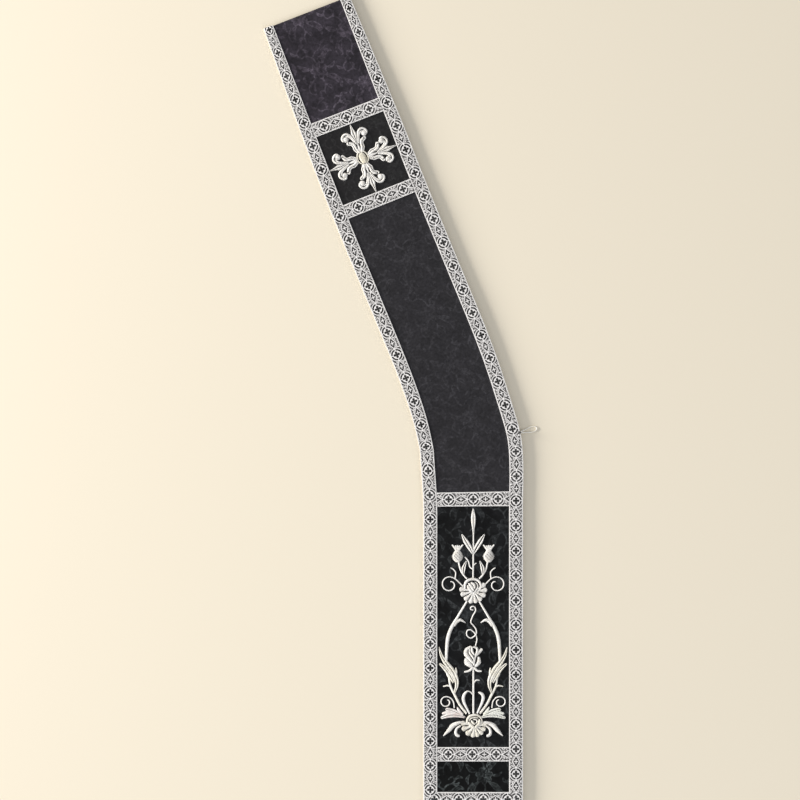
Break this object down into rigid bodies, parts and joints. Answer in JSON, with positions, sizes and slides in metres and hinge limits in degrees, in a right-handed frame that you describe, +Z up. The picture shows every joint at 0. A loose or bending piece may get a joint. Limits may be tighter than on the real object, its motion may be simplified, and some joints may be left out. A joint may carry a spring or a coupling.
{
  "type": "clerical stole",
  "caption": "Black brocade clerical stole with woven galloon borders and raised ivory embroidery, lying flat and folded in half at the centre back.",
  "frame": {"origin": "bottom centre of the stole's box without the cord loop, on the surface that it lies on", "axes": "+Z up from the surface, +Y from the hem towards the centre-back fold, +X to the wearer-side edge that carries the cord loop"},
  "size_m": [0.3581, 1.06, 0.0104],
  "materials": {
    "brocade": "black damask brocade, low sheen",
    "galloon": "silver-white woven galloon with a dark guilloche pattern",
    "embroidery": "ivory satin-stitch embroidery, padded",
    "cord": "twisted ivory cord",
    "bead": "polished black bead"
  },
  "bodies": {
    "root": {"under_half": "brocade", "panel_lower": "brocade", "panel_flower": "brocade", "panel_neck": "brocade", "panel_cross": "brocade", "panel_upper": "brocade", "tape_left": "galloon", "tape_right": "galloon", "tape_hem": "galloon", "tape_below_flowers": "galloon", "tape_above_flowers": "galloon", "tape_below_cross": "galloon", "tape_above_cross": "galloon", "cross_knot": "embroidery", "cross_arm_up": "embroidery", "cross_arm_right": "embroidery", "cross_arm_down": "embroidery", "cross_arm_left": "embroidery", "rose_upper": "embroidery", "rose_lower": "embroidery", "rosebud": "embroidery", "bud_spray": "embroidery", "tendril": "embroidery", "poppy_left": "embroidery", "poppy_right": "embroidery", "scroll_upper_left": "embroidery", "scroll_upper_right": "embroidery", "arch_left": "embroidery", "arch_right": "embroidery", "acanthus_left": "embroidery", "acanthus_right": "embroidery", "inner_loop_left": "embroidery", "inner_loop_right": "embroidery", "scroll_lower_left": "embroidery", "scroll_lower_right": "embroidery", "lobed_leaf_left": "embroidery", "lobed_leaf_right": "embroidery", "lower_leaf_left": "embroidery", "lower_leaf_right": "embroidery", "lower_curl_left": "embroidery", "lower_curl_right": "embroidery", "loop_cord": "cord", "loop_bead": "bead"}
  },
  "joints": []
}
